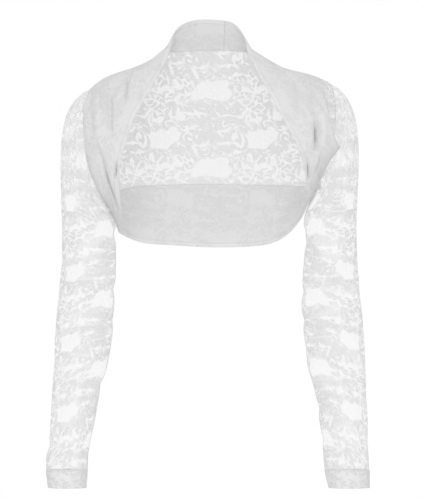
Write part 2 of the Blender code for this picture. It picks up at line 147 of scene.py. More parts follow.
# The back half of each armhole, between the underarm and the shoulder
BACK_ARMHOLES = {
    -1: [
        (-164, 22, -177), (-173, 46, -155), (-180, 64, -122),
        (-185, 66, -90), (-187, 56, -60), (-185, 36, -38),
    ],
    1: [
        (163, 22, -166), (173, 46, -146), (182, 64, -116),
        (188, 66, -85), (189, 56, -56), (186, 36, -33),
    ],
}

# The back stands out over the shoulder blades and the spine, and its sides bend to the armholes
SPINE_CROWN = 9
BLADE_CROWN = 20
CROWN_HEIGHT_POWER = 0.8
SIDE_REACH = 4

# Level sections of the arms below the armhole, the widest first
ArmRow = namedtuple("ArmRow", "z left_outer left_inner right_outer right_inner middle_y half_depth")

ARM_ROWS = [ArmRow(*row) for row in (
    (-237, -223, -143, 219, 143, 0, 45), (-277, -223, -142, 220, 141, -1, 45),
    (-318, -226, -143, 223, 138, -3, 44), (-358, -230, -145, 227, 137, -6, 43),
    (-399, -233, -148, 230, 141, -10, 42), (-440, -235, -155, 232, 146, -15, 40),
    (-480, -237, -166, 233, 157, -20, 38), (-520, -239, -173, 235, 163, -25, 36),
    (-548, -241, -179, 235, 167, -29, 35), (-572, -245, -183, 236, 169, -32, 34),
    (-596, -245, -184, 237, 171, -35, 34), (-621, -242, -186, 237, 177, -38, 33),
)]
CUFF_ROW = 10
WRIST_ROW = 11

# The cap of a sleeve leaves the armhole outward at the shoulder and downward at the underarm
CAP_OUTWARD_TOP = 165
CAP_OUTWARD_UNDERARM = 34
CAP_OUTWARD_POWER = 1.5
CAP_DOWN_TOP = 45
CAP_DOWN_UNDERARM = 20
CAP_ARRIVAL_SHARE = 0.9
LEVEL_STEPS = 121

# How far the cloth of each sleeve swells toward the band under the arm, and how narrowly
UNDERARM_SWELL = {-1: 5.2, 1: 8.0}
UNDERARM_POWER = 6

# Soft folds of a sleeve: height, direction round the arm in degrees from its outer side by way of the
# front, rise of the fold over one radian, and its size
ArmFold = namedtuple("ArmFold", "z direction rise depth half_height half_angle")

LEFT_ARM_FOLDS = [ArmFold(*row) for row in (
    (-255, 150, 20, -3, 9, 60), (-330, 170, 22, -3, 9, 70), (-362, 140, -14, -2.5, 9, 60),
    (-410, 60, 16, -2, 10, 55), (-470, 190, -18, -2.5, 9, 60), (-556, 20, 14, -2.5, 8, 70),
    (-300, 300, 16, -2.5, 10, 60), (-385, 270, -20, -3, 10, 60), (-450, 310, 14, -2, 10, 55),
)]
RIGHT_ARM_FOLDS = [ArmFold(*row) for row in (
    (-262, 160, 18, -2.5, 9, 60), (-322, 150, -16, -3, 9, 65), (-372, 180, 20, -3, 9, 60),
    (-428, 130, 18, -2, 10, 55), (-500, 170, -16, -2.5, 9, 60), (-560, 140, 18, -2.5, 8, 60),
    (-310, 290, -18, -2.5, 10, 60), (-395, 260, 20, -3, 10, 60), (-465, 300, -14, -2, 10, 55),
)]
ARM_FOLDS = {-1: LEFT_ARM_FOLDS, 1: RIGHT_ARM_FOLDS}

# One repeat of the lace, drawn in fine steps: width, height, step, and the value far from any edge
TILE_WIDTH = 150
TILE_HEIGHT = 117
TILE_STEP = 0.5
TILE_COLUMNS = int(TILE_WIDTH / TILE_STEP)
TILE_ROWS = int(TILE_HEIGHT / TILE_STEP)
FAR = 12.0

# Distances are worked out this far past a shape, and from slopes of no less than these
DRAW_MARGIN = 5
LEAST_SLOPE = 1e-3
LEAST_WAVE_SLOPE = 0.12

# Flowers and leaves of the repeat, the lowest first
Motif = namedtuple("Motif", "kind x y size turn")

MOTIFS = [Motif(*row) for row in (
    ("leaf", -20, 24, 19, 8), ("leaf", 22, 26, 18, 172), ("leaf", -24, 45, 20, 2),
    ("leaf", 20, 44, 20, -6), ("leaf", -22, 67, 19, 176), ("leaf", 20, 68, 18, 10),
    ("leaf", -20, 89, 17, 14), ("leaf", 18, 91, 17, -16), ("sprig", 0, 57, 17, 90),
    ("leaf", 48, 52, 13, 60), ("leaf", 104, 50, 13, 122), ("leaf", 50, -24, 12, 160),
    ("leaf", 99, -26, 12, 24), ("rose", 76, 22, 25, 10), ("rose", 74, -20, 17, 30),
    ("blossom", 46, 0, 11, 20), ("blossom", 108, -2, 11, 50), ("scroll", 37, 72, 15, 0),
    ("scroll", 114, 70, 13, 160), ("blossom", 42, 100, 10, 0), ("blossom", 109, 102, 12, 30),
    ("leaf", 40, 24, 10, 70), ("leaf", 114, 24, 10, 112),
)]

# Rings of petals and of curved gaps round a flower, as shares of its size. The span is the length of one
# gap in degrees.
PetalRing = namedtuple("PetalRing", "turn count radius long wide")
GapRing = namedtuple("GapRing", "turn count radius span thick")

ROSE_PETALS = [PetalRing(0, 7, 0.62, 0.34, 0.22), PetalRing(20, 5, 0.34, 0.24, 0.17)]
ROSE_GAPS = [GapRing(26, 6, 0.84, 28, 0.11), GapRing(8, 4, 0.54, 42, 0.12), GapRing(40, 2, 0.24, 80, 0.10)]
BLOSSOM_PETALS = PetalRing(0, 5, 0.62, 0.26, 0.19)

# The three ellipses of a gap: half length to its span, drift outward, thinning at the ends, and lean
GAP_LONG = 0.34
GAP_DRIFT = 0.14
GAP_THINNING = 0.4
GAP_LEAN = 70

# Half length and half width of the open ground under a motif, and of its parts, as shares of its size
GROUNDS = {"blossom": (0.90, 0.80), "scroll": (0.80, 0.74), "sprig": (0.9, 0.34)}
BLOSSOM_HEART = (0.16, 0.14)
LEAF = (1, 0.36)
VEIN = (0.20, 0.06)
LEAFLET = (0.28, 0.09)

# Veins along a leaf and leaflets up a sprig: steps and reach as shares of its size, and their turns
VEIN_STEP = 0.5
VEIN_LINE = 8
VEIN_FAN = 10
LEAFLET_PAIRS = range(-3, 4)
LEAFLET_STEP = 0.30
LEAFLET_REACH = 0.26
LEAFLET_SPREAD = 62

# Beads of a scroll: their number, size, and how far each one turns and draws in
SCROLL_BEADS = 22
BEAD_LONG = 3.4
BEAD_WIDE = 1.6
SCROLL_TURN = 23
SCROLL_SHRINK = 0.036

# Clouds of open net between them: place, width, height and turn
CLOUDS = [
    (0, 0, 68, 34, -3), (75, 70, 62, 37, -12), (37, 90, 22, 15, 30),
    (-49, -13, 26, 18, -20), (34, -37, 24, 17, 10),
]

# The rounds of a cloud: place, half length and half width as shares of its size, and turn
CLOUD_ROUNDS = [
    (-0.1, -0.05, 0.3, 0.34, -20), (0.14, 0, 0.26, 0.36, 15), (-0.3, 0.1, 0.18, 0.24, 0),
    (0.34, 0.14, 0.17, 0.17, -15), (0.02, 0.3, 0.16, 0.18, 20), (-0.22, -0.28, 0.15, 0.16, 5),
    (0.24, -0.22, 0.14, 0.2, -10), (-0.4, -0.06, 0.1, 0.13, 25),
]

# Long openings between the leaves and round the flowers: place, half length, half width and turn
OPENINGS = [
    (-26, 34, 21, 2.6, 2), (22, 35, 12, 2.2, -4), (-38, 57, 16, 2.6, -2), (20, 57, 15, 2.8, 0),
    (-12, 77, 12, 2, 8), (24, 79, 15, 2.2, -5), (75, 0, 15, 4.2, 2), (70, 43, 13, 3.4, 160),
    (49, 34, 9, 3.2, 130), (104, 36, 9, 3.2, 48), (100, 6, 8, 3, 100), (75, -40, 14, 4, 4),
    (57, -6, 7, 3, 60), (92, -9, 7, 2.6, 130), (52, 112, 8, 3.4, 20), (120, 114, 8, 3, 150),
    (126, 88, 9, 3.6, 70), (128, 36, 8, 3, 90), (-8, 102, 12, 2.4, 4),
]

# Waves over the repeat: whole waves across and down, height and start. The first sets bend its shapes,
# and the third ripples their edges.
TileWave = namedtuple("TileWave", "across down height start")

ACROSS_WAVES = [TileWave(*row) for row in (
    (1, 2, 2.6, 0.4), (-2, 3, 1.8, 2.1), (3, -4, 1.1, 4), (6, 5, 0.6, 1),
)]
DOWN_WAVES = [TileWave(*row) for row in (
    (2, 1, 2.6, 1.3), (3, -2, 1.6, 3.3), (-5, 3, 1, 0.2), (7, -6, 0.6, 5),
)]
EDGE_RIPPLES = [TileWave(*row) for row in (
    (13, 9, 0.22, 0.5), (-11, 14, 0.22, 2), (21, -6, 0.18, 4.4), (8, 23, 0.18, 1.2),
)]

# Curly strokes of open net along the level lines of one set of waves, broken where the other is low: half
# their width, least distance from a cloud, bias toward the flowers' column, and how much that is widened
STROKE_WAVES = [TileWave(*row) for row in (
    (5, 4, 1, 0.3), (-7, 3, 0.9, 2.2), (4, -6, 1, 4.1), (8, 2, 0.8, 1.7),
    (-2, 7, 1, 5.2), (6, -5, 0.7, 0.9), (-9, 5, 0.6, 3.4), (2, 8, 0.8, 2.9),
)]
STROKE_BREAKS = [TileWave(*row) for row in (
    (5, 3, 1, 1.1), (-6, 4, 1, 3.6), (3, -6, 0.9, 0.4), (8, 1, 0.8, 5),
)]
STROKE_HALF = 1.9
STROKE_MARGIN = 3.0
STROKE_BIAS = 1.2
STROKE_SPREAD = 0.15

# Small shapes that fill what is left: steps that spread the tries evenly, the room that one needs, and its
# half length and half width, as shares of its size
FILLER_SIZES = (5.5, 4.0, 3.0)
FILLER_TRIES = 500
FILLER_ACROSS = 0.7548777
FILLER_DOWN = 0.5698403
FILLER_TURN = 137.5
FILLER_ROOM = 0.6
FILLER_OPENING = (0.9, 0.42)
FILLER_LEAF = (1.1, 0.5)

# Painted shade: how much darker the collar's cloth is painted than the fronts', and over how many ring rows
# that fades
COLLAR_PAINTED_SHADE = 0.055
COLLAR_REACH = 3.2

# How the repeat lies on a piece: its scale over the cloth's flat measure, and the place of its corner
Lay = namedtuple("Lay", "scale_across scale_down across down")

BACK_LAY = Lay(1.0, 1.0, 2, 27)
SLEEVE_LAYS = {-1: Lay(0.74, 0.9, -13.5, 237), 1: Lay(0.74, 0.9, -15.5, 234)}
BAND_LAY = Lay(0.85, 0.85, 20, 12)
BAND_SHIFT = 40
CUFF_LAYS = {-1: Lay(0.85, 0.85, -13, 12), 1: Lay(0.85, 0.85, -44, 12)}

# Spots of the back that show no cloud: the lace of another part of the repeat lies there
Spot = namedtuple("Spot", "x z radius shift_across shift_down")

BACK_SPOTS = [
    Spot(-64, 18, 27, 38, 6), Spot(68, 18, 27, 52, 6),
    Spot(-126, -142, 26, 34, -8), Spot(126, -140, 26, -48, 26),
]

# Lace in the materials: the net's cell, softness of the threads and of the shapes' edges, and the corded
# outlines
NET_CELL = 1.15
NET_TURNS = (0, 60, 120)
THREAD_BLUR = 0.7
EDGE_BLUR = 0.25
CORD_REACH = 0.85
CORD_CORE = 0.2
OPENING_CORD = 0.35

# The doubled cloth's free edge: its paler rim, which is a painted highlight, the stitched line beside it,
# and where neither shows
RIM_INNER = 3.6
RIM_OUTER = 5.2
STITCH_LINE = 5.6
STITCH_CORE = 0.2
STITCH_REACH = 0.7
PAST_RIM = 20

# Tones: how far the sheer cloth's wander, the thread's, and the doubled cloth's parts as shares of its own.
# The outlines' darker tone is painted shade and the rim's paler tone a painted highlight.
MOTTLE = 0.02
THREAD_TONES = (0.84, 0.92)
FLOWER_TONE = 0.99
CORD_PAINTED_SHADE = 0.965
RIM_HIGHLIGHT_TONE = 1.03
STITCH_TONE = 0.95

# Relief of the lace's parts beside its outlines' 1, and the part of a noise that a tone follows
SHEER_RELIEF = 0.5
DOUBLED_RELIEF = 0.4
NET_RELIEF = -0.12
STITCH_RELIEF = -0.8
NOISE_RANGE = (0.3, 0.7)

# Sewn ridges: radius, swell at each stitch as a share of it, length of a stitch, and points along
Ridge = namedtuple("Ridge", "radius swell stitch steps")

COLLAR_RIDGE = Ridge(0.55, 0.18, 3.0, 420)
HEM_RIDGE = Ridge(0.6, 0.18, 3.0, 320)
ARMHOLE_RIDGE = Ridge(0.6, 0.18, 3.0, 180)
UNDERARM_RIDGE = Ridge(0.45, 0.15, 3.0, 300)
CUFF_RIDGE = Ridge(0.95, 0.1, 2.6, 220)
SIDE_RIDGE = Ridge(0.9, 0.18, 3.0, 60)
CAP_STEPS = 30
RIDGE_SIDES = 6
UPRIGHT = 0.2

# The floor, in millimetres, and the lights and camera, in metres and watts
FLOOR_REACH = 14000
FLOOR_HEIGHT = -1360
FLOOR_TONES = (0.78, 0.80)
LIGHT_SIZE = 1.4
LIGHT_TARGET = (0, 0, -0.3)
Lamp = namedtuple("Lamp", "name place power")

LAMPS = [Lamp("key", (-0.6, -4.0, 0.7), 24), Lamp("fill", (0.9, -3.8, 0.1), 10)]
WORLD_SEEN = 1.0
WORLD_AMBIENT = 0.75
CAMERA_DISTANCE = 8.0
CAMERA_CLIP = 60
FRAME_HEIGHT = 0.75
FRAME_MIDDLE_X = 0.0015
FRAME_MIDDLE_Z = -0.267


def unit(vectors):
    """Vectors of length one."""
    return vectors / np.linalg.norm(vectors, axis=-1, keepdims=True)


def cell_edges(start, end, length, cell):
    """Even values from start to end, at the edges of the cells that fill a length."""
    return np.linspace(start, end, round(length / cell) + 1)


def hermite(start, leave, end, arrive, share):
    """Points between start and end that leave and arrive along the given directions."""
    square = share * share
    cube = square * share
    return ((2 * cube - 3 * square + 1) * start + (cube - 2 * square + share) * leave
            + (3 * square - 2 * cube) * end + (cube - square) * arrive)


def smooth_through(rows, places, closed=False):
    """Points of a smooth curve through the rows, at fractional row numbers."""
    rows = np.array(rows, float)
    first = np.floor(places).astype(int)
    if not closed:
        first = np.clip(first, 0, len(rows) - 2)
    near = first[None, :] + np.array([-1, 0, 1, 2])[:, None]
    before, start, end, after = rows.take(near, axis=0, mode="wrap" if closed else "clip")
    share = (places - first)[:, None]
    return hermite(start, (end - before) / 2, end, (after - start) / 2, share)


def grid_normals(points, closed=False):
    """Direction square to the cloth at each point of a grid."""
    if closed:
        along = np.roll(points, -1, axis=0) - np.roll(points, 1, axis=0)
    else:
        along = np.gradient(points, axis=0)
    across = np.gradient(points, axis=1)
    return unit(np.cross(across, along))


def lengths_along(points, axis):
    """Distance travelled from the first point along one axis of a grid."""
    steps = np.linalg.norm(np.diff(points, axis=axis), axis=-1)
    start = np.zeros_like(np.take(steps, [0], axis=axis))
    return np.concatenate([start, np.cumsum(steps, axis=axis)], axis=axis)


# The cut of the garment

def band_lines(rows):
    """The band's sections at ring rows: free edge, seam edge and crown."""
    table = smooth_through(BAND_RING, rows, closed=True)
    return table[:, 0:3], table[:, 3:6], table[:, 6]


def fold_height(fold, rows, shares, widths):
    """How far one fold lifts the band at each row and share of the width."""
    along = (rows - fold.row_start) / (fold.row_end - fold.row_start)
    middle = fold.share_start + (fold.share_end - fold.share_start) * along
    away = (shares - middle) * widths / fold.half_width
    ends = np.clip(along * (1 - along) * 4, 0, 1)
    return fold.depth * ends * np.exp(-away * away)


def band_grid(rows, shares):
    """Points of the band at each ring row and share of its width."""
    free, seam, crowns = band_lines(rows)
    next_free, next_seam, _ = band_lines(rows + ROW_AHEAD)
    outward = unit(np.cross(seam - free, (next_free + next_seam) - (free + seam)))
    shares = np.broadcast_to(shares, (len(rows), shares.shape[-1]))
    share = shares[:, :, None]
    crown = crowns[:, None, None] * 4 * share * (1 - share)
    points = free[:, None] * (1 - share) + seam[:, None] * share + crown * outward[:, None]
    widths = np.linalg.norm(seam - free, axis=1)[:, None]
    lift = sum(fold_height(fold, rows[:, None], shares, widths) for fold in BAND_FOLDS + GATHERS)
    ease = np.clip(4 * shares * (1 - shares), 0, 1)
    return points + grid_normals(points) * (lift * ease)[:, :, None]


def seam_edge(rows):
    """The band's seam edge at ring rows."""
    return band_lines(rows)[1]


def front_shares(rows):
    """The share of the band's width that is doubled cloth at ring rows."""
    shares = np.ones(len(rows))
    for bow in HEAD_BOWS.values():
        along = np.clip((rows - bow.first) / (bow.last - bow.first), 0, 1)
        shares -= bow.depth * np.sin(math.pi * along ** bow.lean) ** bow.fullness
    return shares


def back_armhole(side, places):
    """The back half of an armhole, from 0 at the underarm to 1 at the shoulder."""
    underarm, shoulder = seam_edge(np.array([SIDE_ROWS[side], SHOULDER_ROWS[side]]))
    rows = [underarm, *BACK_ARMHOLES[side], shoulder]
    return smooth_through(rows, places * (len(rows) - 1))


def armhole_seam(side):
    """The sewn line round an armhole, along the sleeve head's reach over the front."""
    rows = np.linspace(SHOULDER_ROWS[side], SIDE_ROWS[side], ARMHOLE_RIDGE.steps)
    front = band_grid(rows, front_shares(rows)[:, None] * SHARES_INSIDE)[:, -1]
    back = back_armhole(side, np.linspace(0, 1, ARMHOLE_RIDGE.steps))
    return np.concatenate([front, back[1:-1]])


def armhole_loop(side, angles):
    """The armhole at directions from the shoulder, by way of the front."""
    top, bottom = SHOULDER_ROWS[side], SIDE_ROWS[side]
    turn = np.mod(angles, 2 * math.pi)
    front = seam_edge(top + (bottom - top) * np.clip(turn / math.pi, 0, 1))
    back = back_armhole(side, np.clip(turn / math.pi - 1, 0, 1))
    return np.where((turn <= math.pi)[:, None], front, back)


def back_grid(across, down):
    """Points of the back at shares of its width and height."""
    left_rows = SHOULDER_TOP * (1 - 2 * across)
    right_rows = RING_END - SHOULDER_TOP * (2 * across - 1)
    top = seam_edge(np.where(across < 0.5, left_rows, right_rows))
    bottom = seam_edge(SIDE_ROWS[-1] + (SIDE_ROWS[1] - SIDE_ROWS[-1]) * across)
    share = down[None, :, None]
    points = top[:, None] * (1 - share) + bottom[:, None] * share
    left_pull = ((1 - across) ** SIDE_REACH)[:, None, None]
    right_pull = (across ** SIDE_REACH)[:, None, None]
    left_move = back_armhole(-1, 1 - down) - points[0]
    right_move = back_armhole(1, 1 - down) - points[-1]
    points = points + left_pull * left_move[None] + right_pull * right_move[None]
    from_spine = np.abs(2 * across - 1)[:, None]
    blades = (4 * from_spine * (1 - from_spine)) ** 2
    crown = SPINE_CROWN * (1 - from_spine ** 2) + BLADE_CROWN * blades
    points[:, :, 1] += crown * np.sin(math.pi * down[None, :] ** CROWN_HEIGHT_POWER)
    return points


def arm_section(side, places, angles):
    """Rings of an arm at fractional rows of its table."""
    row = ArmRow(*smooth_through(ARM_ROWS, places).T)
    outer, inner = (row.left_outer, row.left_inner) if side < 0 else (row.right_outer, row.right_inner)
    angle = angles[:, None]
    lift = np.zeros((len(angles), len(places)))
    for fold in ARM_FOLDS[side]:
        turn = (angle - math.radians(fold.direction) + math.pi) % (2 * math.pi) - math.pi
        height = (row.z - fold.z - fold.rise * turn) / fold.half_height
        reach = turn / math.radians(fold.half_angle)
        lift += fold.depth * np.exp(-height * height - reach * reach)
    x = (outer + inner) / 2 + np.cos(angle) * ((outer - inner) / 2 + side * lift)
    y = row.middle_y - np.sin(angle) * (row.half_depth + lift)
    return np.stack([x, y, row.z + 0 * x], axis=-1)


def sleeve_grid(side, angles, cap_shares, places):
    """Points of a sleeve: its cap at shares from the armhole, and the arm at table rows."""
    loop = armhole_loop(side, angles)
    arm = arm_section(side, places, angles)
    start = arm_section(side, np.array([0.0]), angles)
    levels = armhole_loop(side, np.linspace(0, 2 * math.pi, LEVEL_STEPS))[:, 2]
    height = np.clip((loop[:, 2] - levels.min()) / np.ptp(levels), 0, 1)
    outward_share = height ** CAP_OUTWARD_POWER
    outward = CAP_OUTWARD_UNDERARM + (CAP_OUTWARD_TOP - CAP_OUTWARD_UNDERARM) * outward_share
    downward = CAP_DOWN_UNDERARM + (CAP_DOWN_TOP - CAP_DOWN_UNDERARM) * height
    leave = np.stack([side * outward, 0 * outward, -downward], axis=-1)
    drop = np.linalg.norm(start[:, 0] - loop, axis=1) * CAP_ARRIVAL_SHARE
    arrive = np.stack([0 * drop, 0 * drop, -drop], axis=-1)
    share = cap_shares[None, :]
    cap = hermite(loop[:, None], leave[:, None], start, arrive[:, None], share[:, :, None])
    near_underarm = np.clip(-np.cos(angles), 0, 1)[:, None] ** UNDERARM_POWER
    cap[:, :, 0] -= side * UNDERARM_SWELL[side] * near_underarm * 4 * share * (1 - share)
    return np.concatenate([cap, arm], axis=1)


# The lace repeat

def ellipse_patch(x, y, long, wide, turn):
    """The cells of the repeat round an ellipse, and how far each is outside its edge."""
    steps = math.ceil((max(long, wide) + DRAW_MARGIN) / TILE_STEP)
    columns = round(x / TILE_STEP) + np.arange(-steps, steps + 1)
    rows = round(y / TILE_STEP) + np.arange(-steps, steps + 1)
    right = columns[None, :] * TILE_STEP - x
    down = rows[:, None] * TILE_STEP - y
    cosine, sine = math.cos(math.radians(turn)), math.sin(math.radians(turn))
    along = right * cosine + down * sine
    across = down * cosine - right * sine
    near = np.hypot(along / long, across / wide)
    slope = np.maximum(np.hypot(along / long ** 2, across / wide ** 2), LEAST_SLOPE)
    return np.ix_(rows % TILE_ROWS, columns % TILE_COLUMNS), near * (near - 1) / slope


def draw(motifs, gaps, ellipse, cut=True):
    """Cut an opening through the flowers and leaves, or draw one more over them."""
    place, outside = ellipse_patch(*ellipse)
    old = motifs[place]
    if cut:
        gaps[place] = np.minimum(gaps[place], outside)
        motifs[place] = np.maximum(old, -outside)
    else:
        beside = np.where(old < 0, np.maximum(old, -outside), np.minimum(old, outside))
        motifs[place] = np.where(outside < 0, outside, beside)


def around(x, y, radius, turn):
    """A point at a distance and direction from another."""
    return x + radius * math.cos(math.radians(turn)), y + radius * math.sin(math.radians(turn))


def sized(place, shares, size, turn):
    """An ellipse at a place, with half length and half width as shares of a size."""
    return (*place, shares[0] * size, shares[1] * size, turn)


def petals_round(motif, ring):
    """Petals side by side round a flower's middle, as ellipses."""
    petals = []
    for number in range(ring.count):
        direction = motif.turn + ring.turn + 360 * number / ring.count
        place = around(motif.x, motif.y, ring.radius * motif.size, direction)
        petals.append(sized(place, (ring.long, ring.wide), motif.size, direction + 90))
    return petals


def gaps_round(motif, ring):
    """A ring of curved gaps round a flower's middle, each of three ellipses."""
    radius, thick = ring.radius * motif.size, ring.thick * motif.size
    gaps = []
    for number in range(3 * ring.count):
        part = number % 3 - 1
        direction = motif.turn + ring.turn + 360 * (number // 3) / ring.count + ring.span * part / 2
        place = around(motif.x, motif.y, radius * (1 + GAP_DRIFT * part), direction)
        long = radius * math.radians(ring.span) * GAP_LONG
        gaps.append((*place, long, thick * (1 - GAP_THINNING * abs(part)), direction + GAP_LEAN))
    return gaps


def beads(motif):
    """The beads of a scroll that curls inward, as ellipses."""
    ellipses = []
    for number in range(SCROLL_BEADS):
        direction = motif.turn + SCROLL_TURN * number
        place = around(motif.x, motif.y, motif.size * (1 - SCROLL_SHRINK * number), direction)
        ellipses.append((*place, BEAD_LONG, BEAD_WIDE, direction + 90))
    return ellipses


def leaflets(motif):
    """Pairs of leaflets up a sprig, as ellipses."""
    ellipses = []
    for number in LEAFLET_PAIRS:
        stem = around(motif.x, motif.y, LEAFLET_STEP * motif.size * number, motif.turn)
        for way in (-1, 1):
            direction = motif.turn + LEAFLET_SPREAD * way
            place = around(*stem, LEAFLET_REACH * motif.size, direction)
            ellipses.append(sized(place, LEAFLET, motif.size, direction))
    return ellipses


def motif_ellipses(motif):
    """The ellipses of a flower, leaf or scroll, each with True where it cuts an opening."""
    kind, x, y, size, turn = motif
    if kind == "rose":
        petals = [ellipse for ring in ROSE_PETALS for ellipse in petals_round(motif, ring)]
        cuts = [ellipse for ring in ROSE_GAPS for ellipse in gaps_round(motif, ring)]
        return [(ellipse, False) for ellipse in petals] + [(ellipse, True) for ellipse in cuts]
    if kind == "leaf":
        ellipses = [(sized((x, y), LEAF, size, turn), False)]
        for number in (-1, 0, 1):
            place = around(x, y, VEIN_STEP * size * number, turn + VEIN_LINE)
            ellipses.append((sized(place, VEIN, size, turn + VEIN_FAN * number), True))
        return ellipses
    if kind == "blossom":
        parts = petals_round(motif, BLOSSOM_PETALS) + [sized((x, y), BLOSSOM_HEART, size, 0)]
    else:
        parts = beads(motif) if kind == "scroll" else leaflets(motif)
    ground = sized((x, y), GROUNDS[kind], size, turn)
    return [(ground, True)] + [(ellipse, False) for ellipse in parts]


def cloud_ellipses(cloud):
    """A cloud of open net as overlapping rounds of uneven size."""
    x, y, width, height, turn = cloud
    cosine, sine = math.cos(math.radians(turn)), math.sin(math.radians(turn))
    rounds = []
    for across, down, long, wide, lean in CLOUD_ROUNDS:
        right = across * width * cosine - down * height * sine
        below = across * width * sine + down * height * cosine
        rounds.append((x + right, y + below, long * width, wide * height, turn + lean))
    return rounds


def sample(field, across, down):
    """Values of a field of the repeat at places on the flat cloth, in millimetres."""
    column = (across % TILE_WIDTH) / TILE_STEP
    row = (down % TILE_HEIGHT) / TILE_STEP
    left = np.floor(column).astype(int)
    upper = np.floor(row).astype(int)
    share_x, share_y = column - left, row - upper
    total = 0
    for step_y, weight_y in ((0, 1 - share_y), (1, share_y)):
        for step_x, weight_x in ((0, 1 - share_x), (1, share_x)):
            cells = field[(upper + step_y) % TILE_ROWS, (left + step_x) % TILE_COLUMNS]
            total = total + weight_x * weight_y * cells
    return total


def tile_waves(across, down, waves):
    """A sum of waves that meet at the repeat's edges."""
    total = 0 * across
    for wave in waves:
        phase = wave.across * across / TILE_WIDTH + wave.down * down / TILE_HEIGHT
        total = total + wave.height * np.sin(2 * math.pi * phase + wave.start)
    return total


def wave_distance(total):
    """About how far each place is from where the waves' sum is nought, negative below it."""
    slopes = [(np.roll(total, -1, axis) - np.roll(total, 1, axis)) / (2 * TILE_STEP) for axis in (1, 0)]
    return total / np.maximum(np.hypot(*slopes), LEAST_WAVE_SLOPE)


def fill_gaps(motifs, gaps):
    """Put small shapes where there is room, an opening and a leaf by turns."""
    number = 0
    for size in FILLER_SIZES:
        for _ in range(FILLER_TRIES):
            number += 1
            x = (number * FILLER_ACROSS % 1) * TILE_WIDTH
            y = (number * FILLER_DOWN % 1) * TILE_HEIGHT
            cell = int(y / TILE_STEP) % TILE_ROWS, int(x / TILE_STEP) % TILE_COLUMNS
            if min(motifs[cell], gaps[cell]) < size * FILLER_ROOM:
                continue
            long, wide = FILLER_OPENING if number % 2 else FILLER_LEAF
            ellipse = (x, y, size * long, size * wide, FILLER_TURN * number % 180)
            draw(motifs, gaps, ellipse, number % 2 == 1)


def lace_repeat():
    """Distances from the edges of the flowers and of the openings, over one repeat."""
    motifs = np.full((TILE_ROWS, TILE_COLUMNS), FAR)
    gaps = np.full((TILE_ROWS, TILE_COLUMNS), FAR)
    for cloud in CLOUDS:
        for ellipse in cloud_ellipses(cloud):
            draw(motifs, gaps, ellipse)
    clouds = gaps.copy()
    for motif in MOTIFS:
        for ellipse, cut in motif_ellipses(motif):
            draw(motifs, gaps, ellipse, cut)
    for opening in OPENINGS:
        draw(motifs, gaps, opening)
    fill_gaps(motifs, gaps)
    down, across = np.mgrid[0:TILE_ROWS, 0:TILE_COLUMNS] * TILE_STEP
    bias = STROKE_BIAS * (STROKE_SPREAD - np.cos(2 * math.pi * across / TILE_WIDTH))
    strokes = np.abs(wave_distance(tile_waves(across, down, STROKE_WAVES))) - STROKE_HALF
    strokes = np.maximum(strokes, -wave_distance(tile_waves(across, down, STROKE_BREAKS) + bias))
    strokes = np.maximum(strokes, STROKE_MARGIN - clouds)
    gaps = np.minimum(gaps, strokes)
    motifs = np.maximum(motifs, -strokes)
    x = across + tile_waves(across, down, ACROSS_WAVES)
    y = down + tile_waves(across, down, DOWN_WAVES)
    ripple = tile_waves(across, down, EDGE_RIPPLES)
    return [sample(field, x, y) + ripple for field in (motifs, gaps)]


MOTIF_MAP, GAP_MAP = lace_repeat()


def lace_fields(lay, across, down, mirrored=False):
    """The lace's attributes at flat places: the two distances and the place itself."""
    side = np.abs(across) if mirrored else across
    x = (side - lay.across) / lay.scale_across
    y = (down - lay.down) / lay.scale_down
    return {
        "motif": sample(MOTIF_MAP, x, y),
        "opening": sample(GAP_MAP, x, y),
        "flat": np.stack([across, down, 0 * across], axis=-1),
    }


# Meshes

def grid_faces(rows, columns, closed_rows=False, closed_columns=False):
    """Quads between the points of a grid."""
    index = np.arange(rows * columns).reshape(rows, columns)
    if closed_rows:
        index = np.concatenate([index, index[:1]])
    if closed_columns:
        index = np.concatenate([index, index[:, :1]], axis=1)
    corners = [index[:-1, :-1], index[:-1, 1:], index[1:, 1:], index[1:, :-1]]
    return np.stack(corners, axis=-1).reshape(-1, 4)


def joined(first, second):
    """The points or values of two grids in one row."""
    rest = first.shape[2:]
    return np.concatenate([first.reshape((-1, *rest)), second.reshape((-1, *rest))])


def add_piece(name, points, faces, material, fields=None):
    """A smooth mesh of millimetre points with its attributes, linked to the scene."""
    mesh = bpy.data.meshes.new(name)
    mesh.from_pydata((points.reshape(-1, 3) * MM).tolist(), [], faces.tolist())
    for key, values in (fields or {}).items():
        kind, entry = ("FLOAT_VECTOR", "vector") if key == "flat" else ("FLOAT", "value")
        mesh.attributes.new(key, kind, "POINT").data.foreach_set(entry, values.reshape(-1))
    mesh.shade_smooth()
    mesh.materials.append(material)
    piece = bpy.data.objects.new(name, mesh)
    bpy.context.scene.collection.objects.link(piece)
    return piece


def doubled_shell(points, normals):
    """Closed cross sections round a grid that runs from the folded edge to the sewn edge."""
    half = DOUBLED / 2
    beyond = unit(points[:, 0] - points[:, 1])
    edge = []
    for number in range(1, EDGE_POINTS + 1):
        angle = math.pi * number / (EDGE_POINTS + 1)
        turned = beyond * math.sin(angle) + normals[:, 0] * math.cos(angle)
        edge.append((points[:, 0] + turned * half)[:, None])
    return np.concatenate([(points + normals * half)[:, ::-1], *edge, points - normals * half], axis=1)


def shell_fields(fields):
    """The attributes of a grid, laid over its closed cross sections."""
    laid = {}
    for key, values in fields.items():
        edge = [values[:, :1]] * EDGE_POINTS
        laid[key] = np.concatenate([values[:, ::-1], *edge, values], axis=1)
    return laid


def shell_faces(rows, columns):
    """Quads round a shell of closed cross sections, with its two ends closed by strips."""
    strips = []
    for row in (0, rows - 1):
        start = row * columns
        for column in range(columns // 2 - 1):
            opposite = start + columns - 1 - column
            quad = [start + column, start + column + 1, opposite - 1, opposite]
            strips.append(quad if row == 0 else quad[::-1])
    return np.concatenate([grid_faces(rows, columns, closed_columns=True), np.array(strips)])


# Materials

